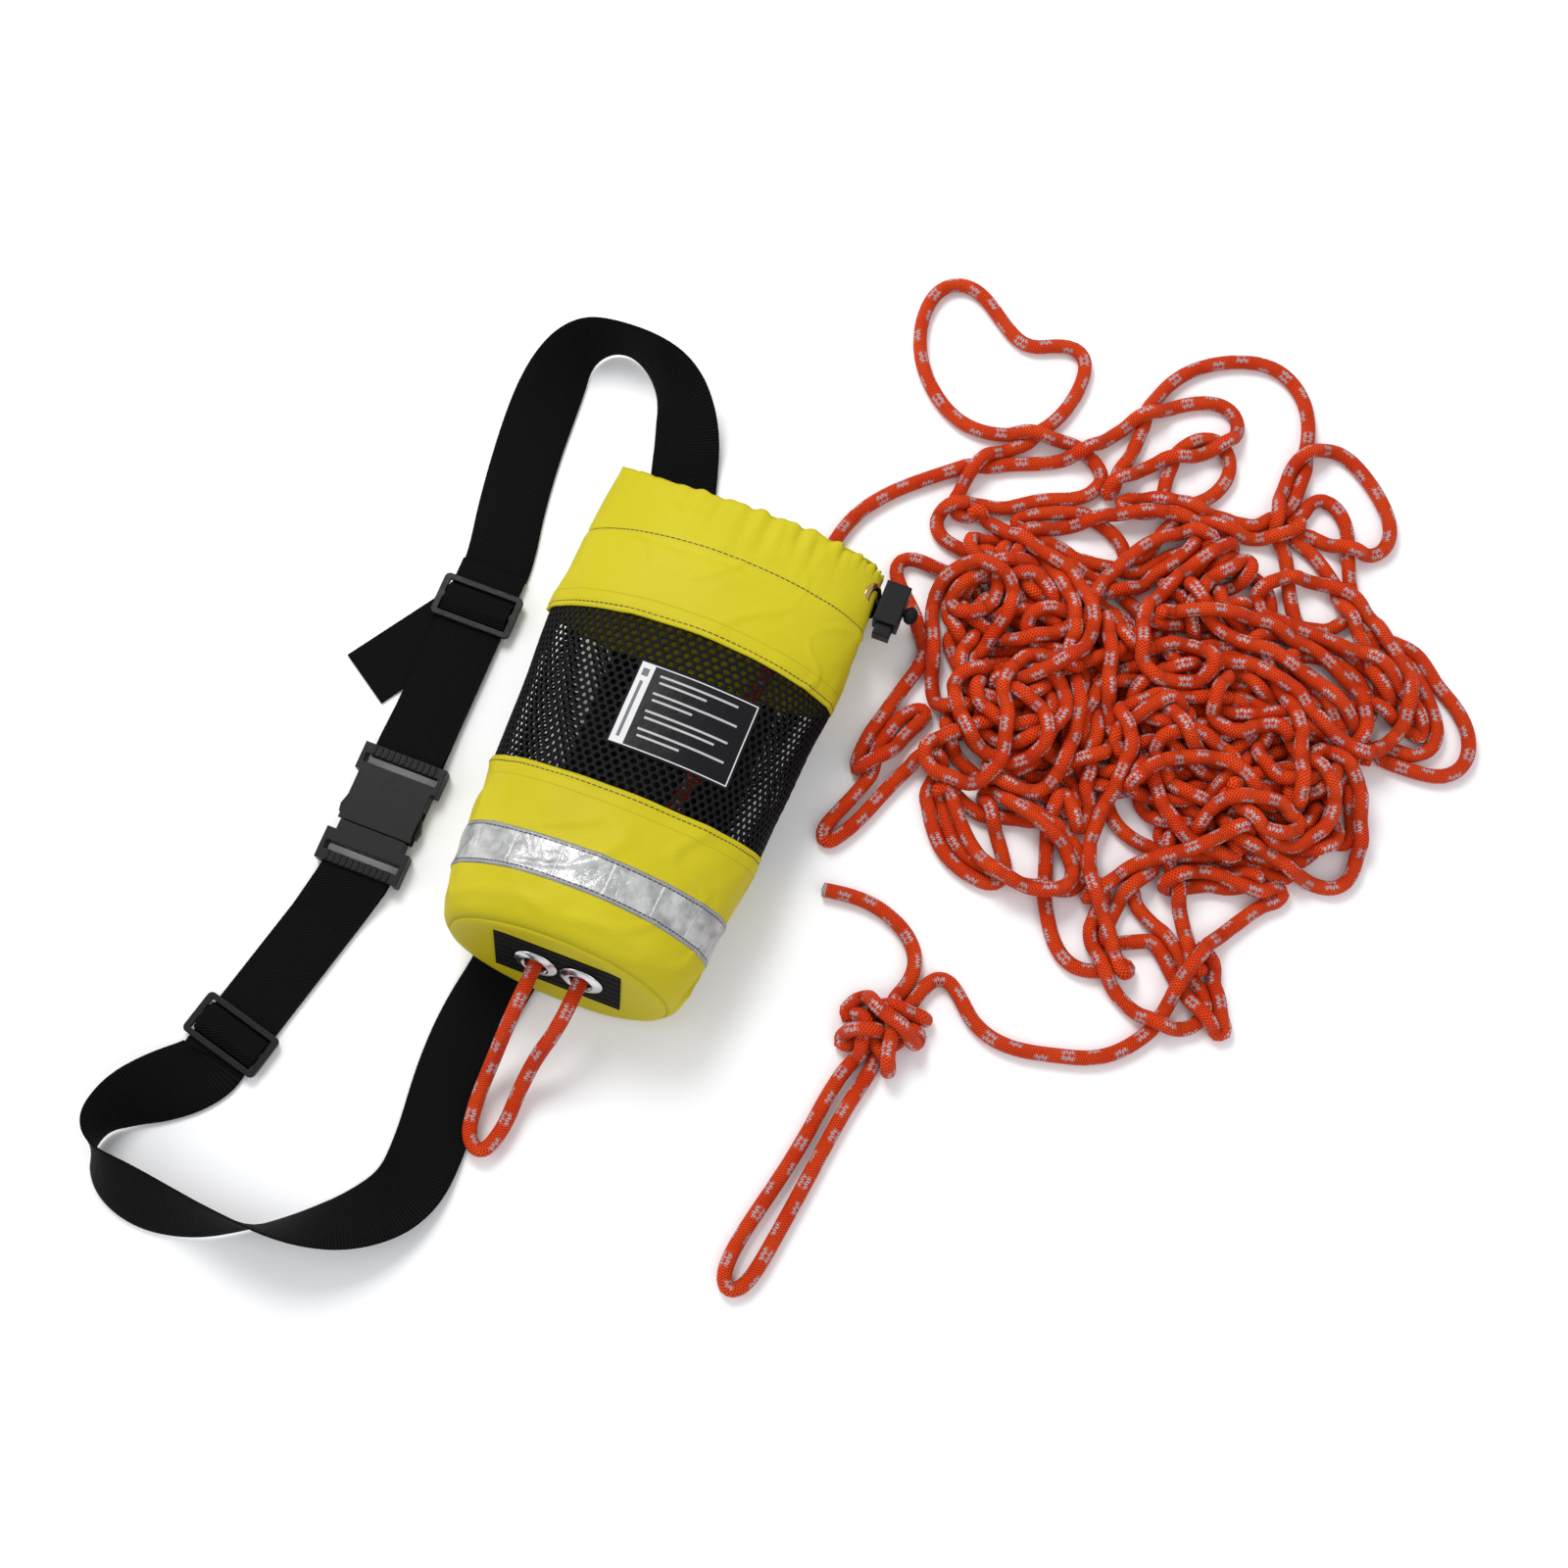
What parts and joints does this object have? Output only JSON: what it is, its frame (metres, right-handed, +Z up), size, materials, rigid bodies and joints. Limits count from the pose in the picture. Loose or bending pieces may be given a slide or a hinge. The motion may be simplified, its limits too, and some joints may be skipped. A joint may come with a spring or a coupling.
{
  "type": "throw rope bag",
  "caption": "Throw rope bag of coated nylon and mesh with a foam float, base eyelets, drawcord mouth, waist belt with side-release buckle, and a floating rope paid out beside it.",
  "frame": {"origin": "middle of the back sleeve's underside, on the surface that the bag lies on", "axes": "+Z up, +Y along the bag from its base to its mouth, +X towards the drawcord"},
  "size_m": [0.6157, 0.6826, 0.0874],
  "materials": {
    "yellow_nylon": "coated woven nylon, soft sheen",
    "black_mesh": "knitted open mesh",
    "silver_reflective": "prismatic reflective tape",
    "label_print": "satin woven label with pale bars",
    "black_webbing": "ribbed polypropylene webbing",
    "black_fabric": "plain weave",
    "nickel": "nickel plated",
    "brass": "dull brass",
    "white_foam": "closed cell foam",
    "black_acetal": "moulded acetal, satin",
    "black_cord": "braided cord",
    "spring_steel": "bright wire",
    "orange_rope": "braided floating rope with silver flecks"
  },
  "bodies": {
    "bag": {"upper_panel": "yellow_nylon", "mesh_panel": "black_mesh", "lower_panel": "yellow_nylon", "base_panel": "yellow_nylon", "reflective_band": "silver_reflective", "warning_label": "label_print", "drawcord_channel": "yellow_nylon", "base_patch": "black_webbing", "base_eyelet_left": "nickel", "base_eyelet_right": "nickel", "base_washer_left": "nickel", "base_washer_right": "nickel", "foam_float": "white_foam", "back_sleeve": "black_fabric", "belt_middle": "black_webbing", "belt_upper_run": "black_webbing", "belt_lower_run": "black_webbing", "belt_lower_loop": "black_webbing", "buckle_male": "black_acetal", "drawcord_grommet": "brass", "drawcord": "black_cord", "drawcord_knot": "black_cord", "cord_lock_body": "black_acetal", "cord_lock_spring": "spring_steel", "rope_bag_run": "orange_rope", "rope_base_loop": "orange_rope", "rope_far_loop": "orange_rope", "rope_top_loop": "orange_rope", "rope_right_loop": "orange_rope", "rope_lock_loop": "orange_rope", "rope_left_loop": "orange_rope", "rope_end_run": "orange_rope", "rope_tail": "orange_rope", "rope_hand_loop": "orange_rope", "rope_base_knot": "orange_rope", "hand_loop_knot": "orange_rope", "rope_heap": "orange_rope", "rope_top_turns": "orange_rope", "rope_side_turns": "orange_rope", "rope_foot_turns": "orange_rope"},
    "belt_release": {"buckle_female": "black_acetal", "belt_upper_loop": "black_webbing", "belt_tail": "black_webbing"},
    "upper_slider": {"tri_glide_upper": "black_acetal", "belt_fold_upper": "black_webbing"},
    "lower_slider": {"tri_glide_lower": "black_acetal", "belt_fold_lower": "black_webbing"},
    "arm_left": {"buckle_arm_left": "black_acetal"},
    "arm_right": {"buckle_arm_right": "black_acetal"},
    "lock_button": {"cord_lock_plunger": "black_acetal"}
  },
  "joints": [
    {"name": "buckle_release", "type": "slide", "parent": "bag", "child": "belt_release", "axis": [0, 1, 0], "range_m": [0, 0.04], "deforming": ["belt_upper_run"]},
    {"name": "upper_slider_slide", "type": "slide", "parent": "belt_release", "child": "upper_slider", "axis": [0, 1, 0], "range_m": [-0.03, 0.008]},
    {"name": "lower_slider_slide", "type": "slide", "parent": "bag", "child": "lower_slider", "axis": [0.2419, 0.9703, 0], "range_m": [-0.004, 0.03]},
    {"name": "arm_left_squeeze", "type": "hinge", "parent": "bag", "child": "arm_left", "pos_m": [-0.139, -0.1042, 0.0055], "axis": [0, 0, 1], "range_deg": [-7, 0], "stiffness_Nm_per_rad": 0.3},
    {"name": "arm_right_squeeze", "type": "hinge", "parent": "bag", "child": "arm_right", "pos_m": [-0.115, -0.1042, 0.0055], "axis": [0, 0, 1], "range_deg": [0, 7], "stiffness_Nm_per_rad": 0.3},
    {"name": "cord_lock_press", "type": "slide", "parent": "bag", "child": "lock_button", "axis": [0, 1, 0], "range_m": [0, 0.004], "stiffness_N_per_m": 700, "deforming": ["cord_lock_spring"]}
  ],
  "couplings": [
    {"joint": "arm_right_squeeze", "follows": "arm_left_squeeze", "ratio": -1}
  ]
}
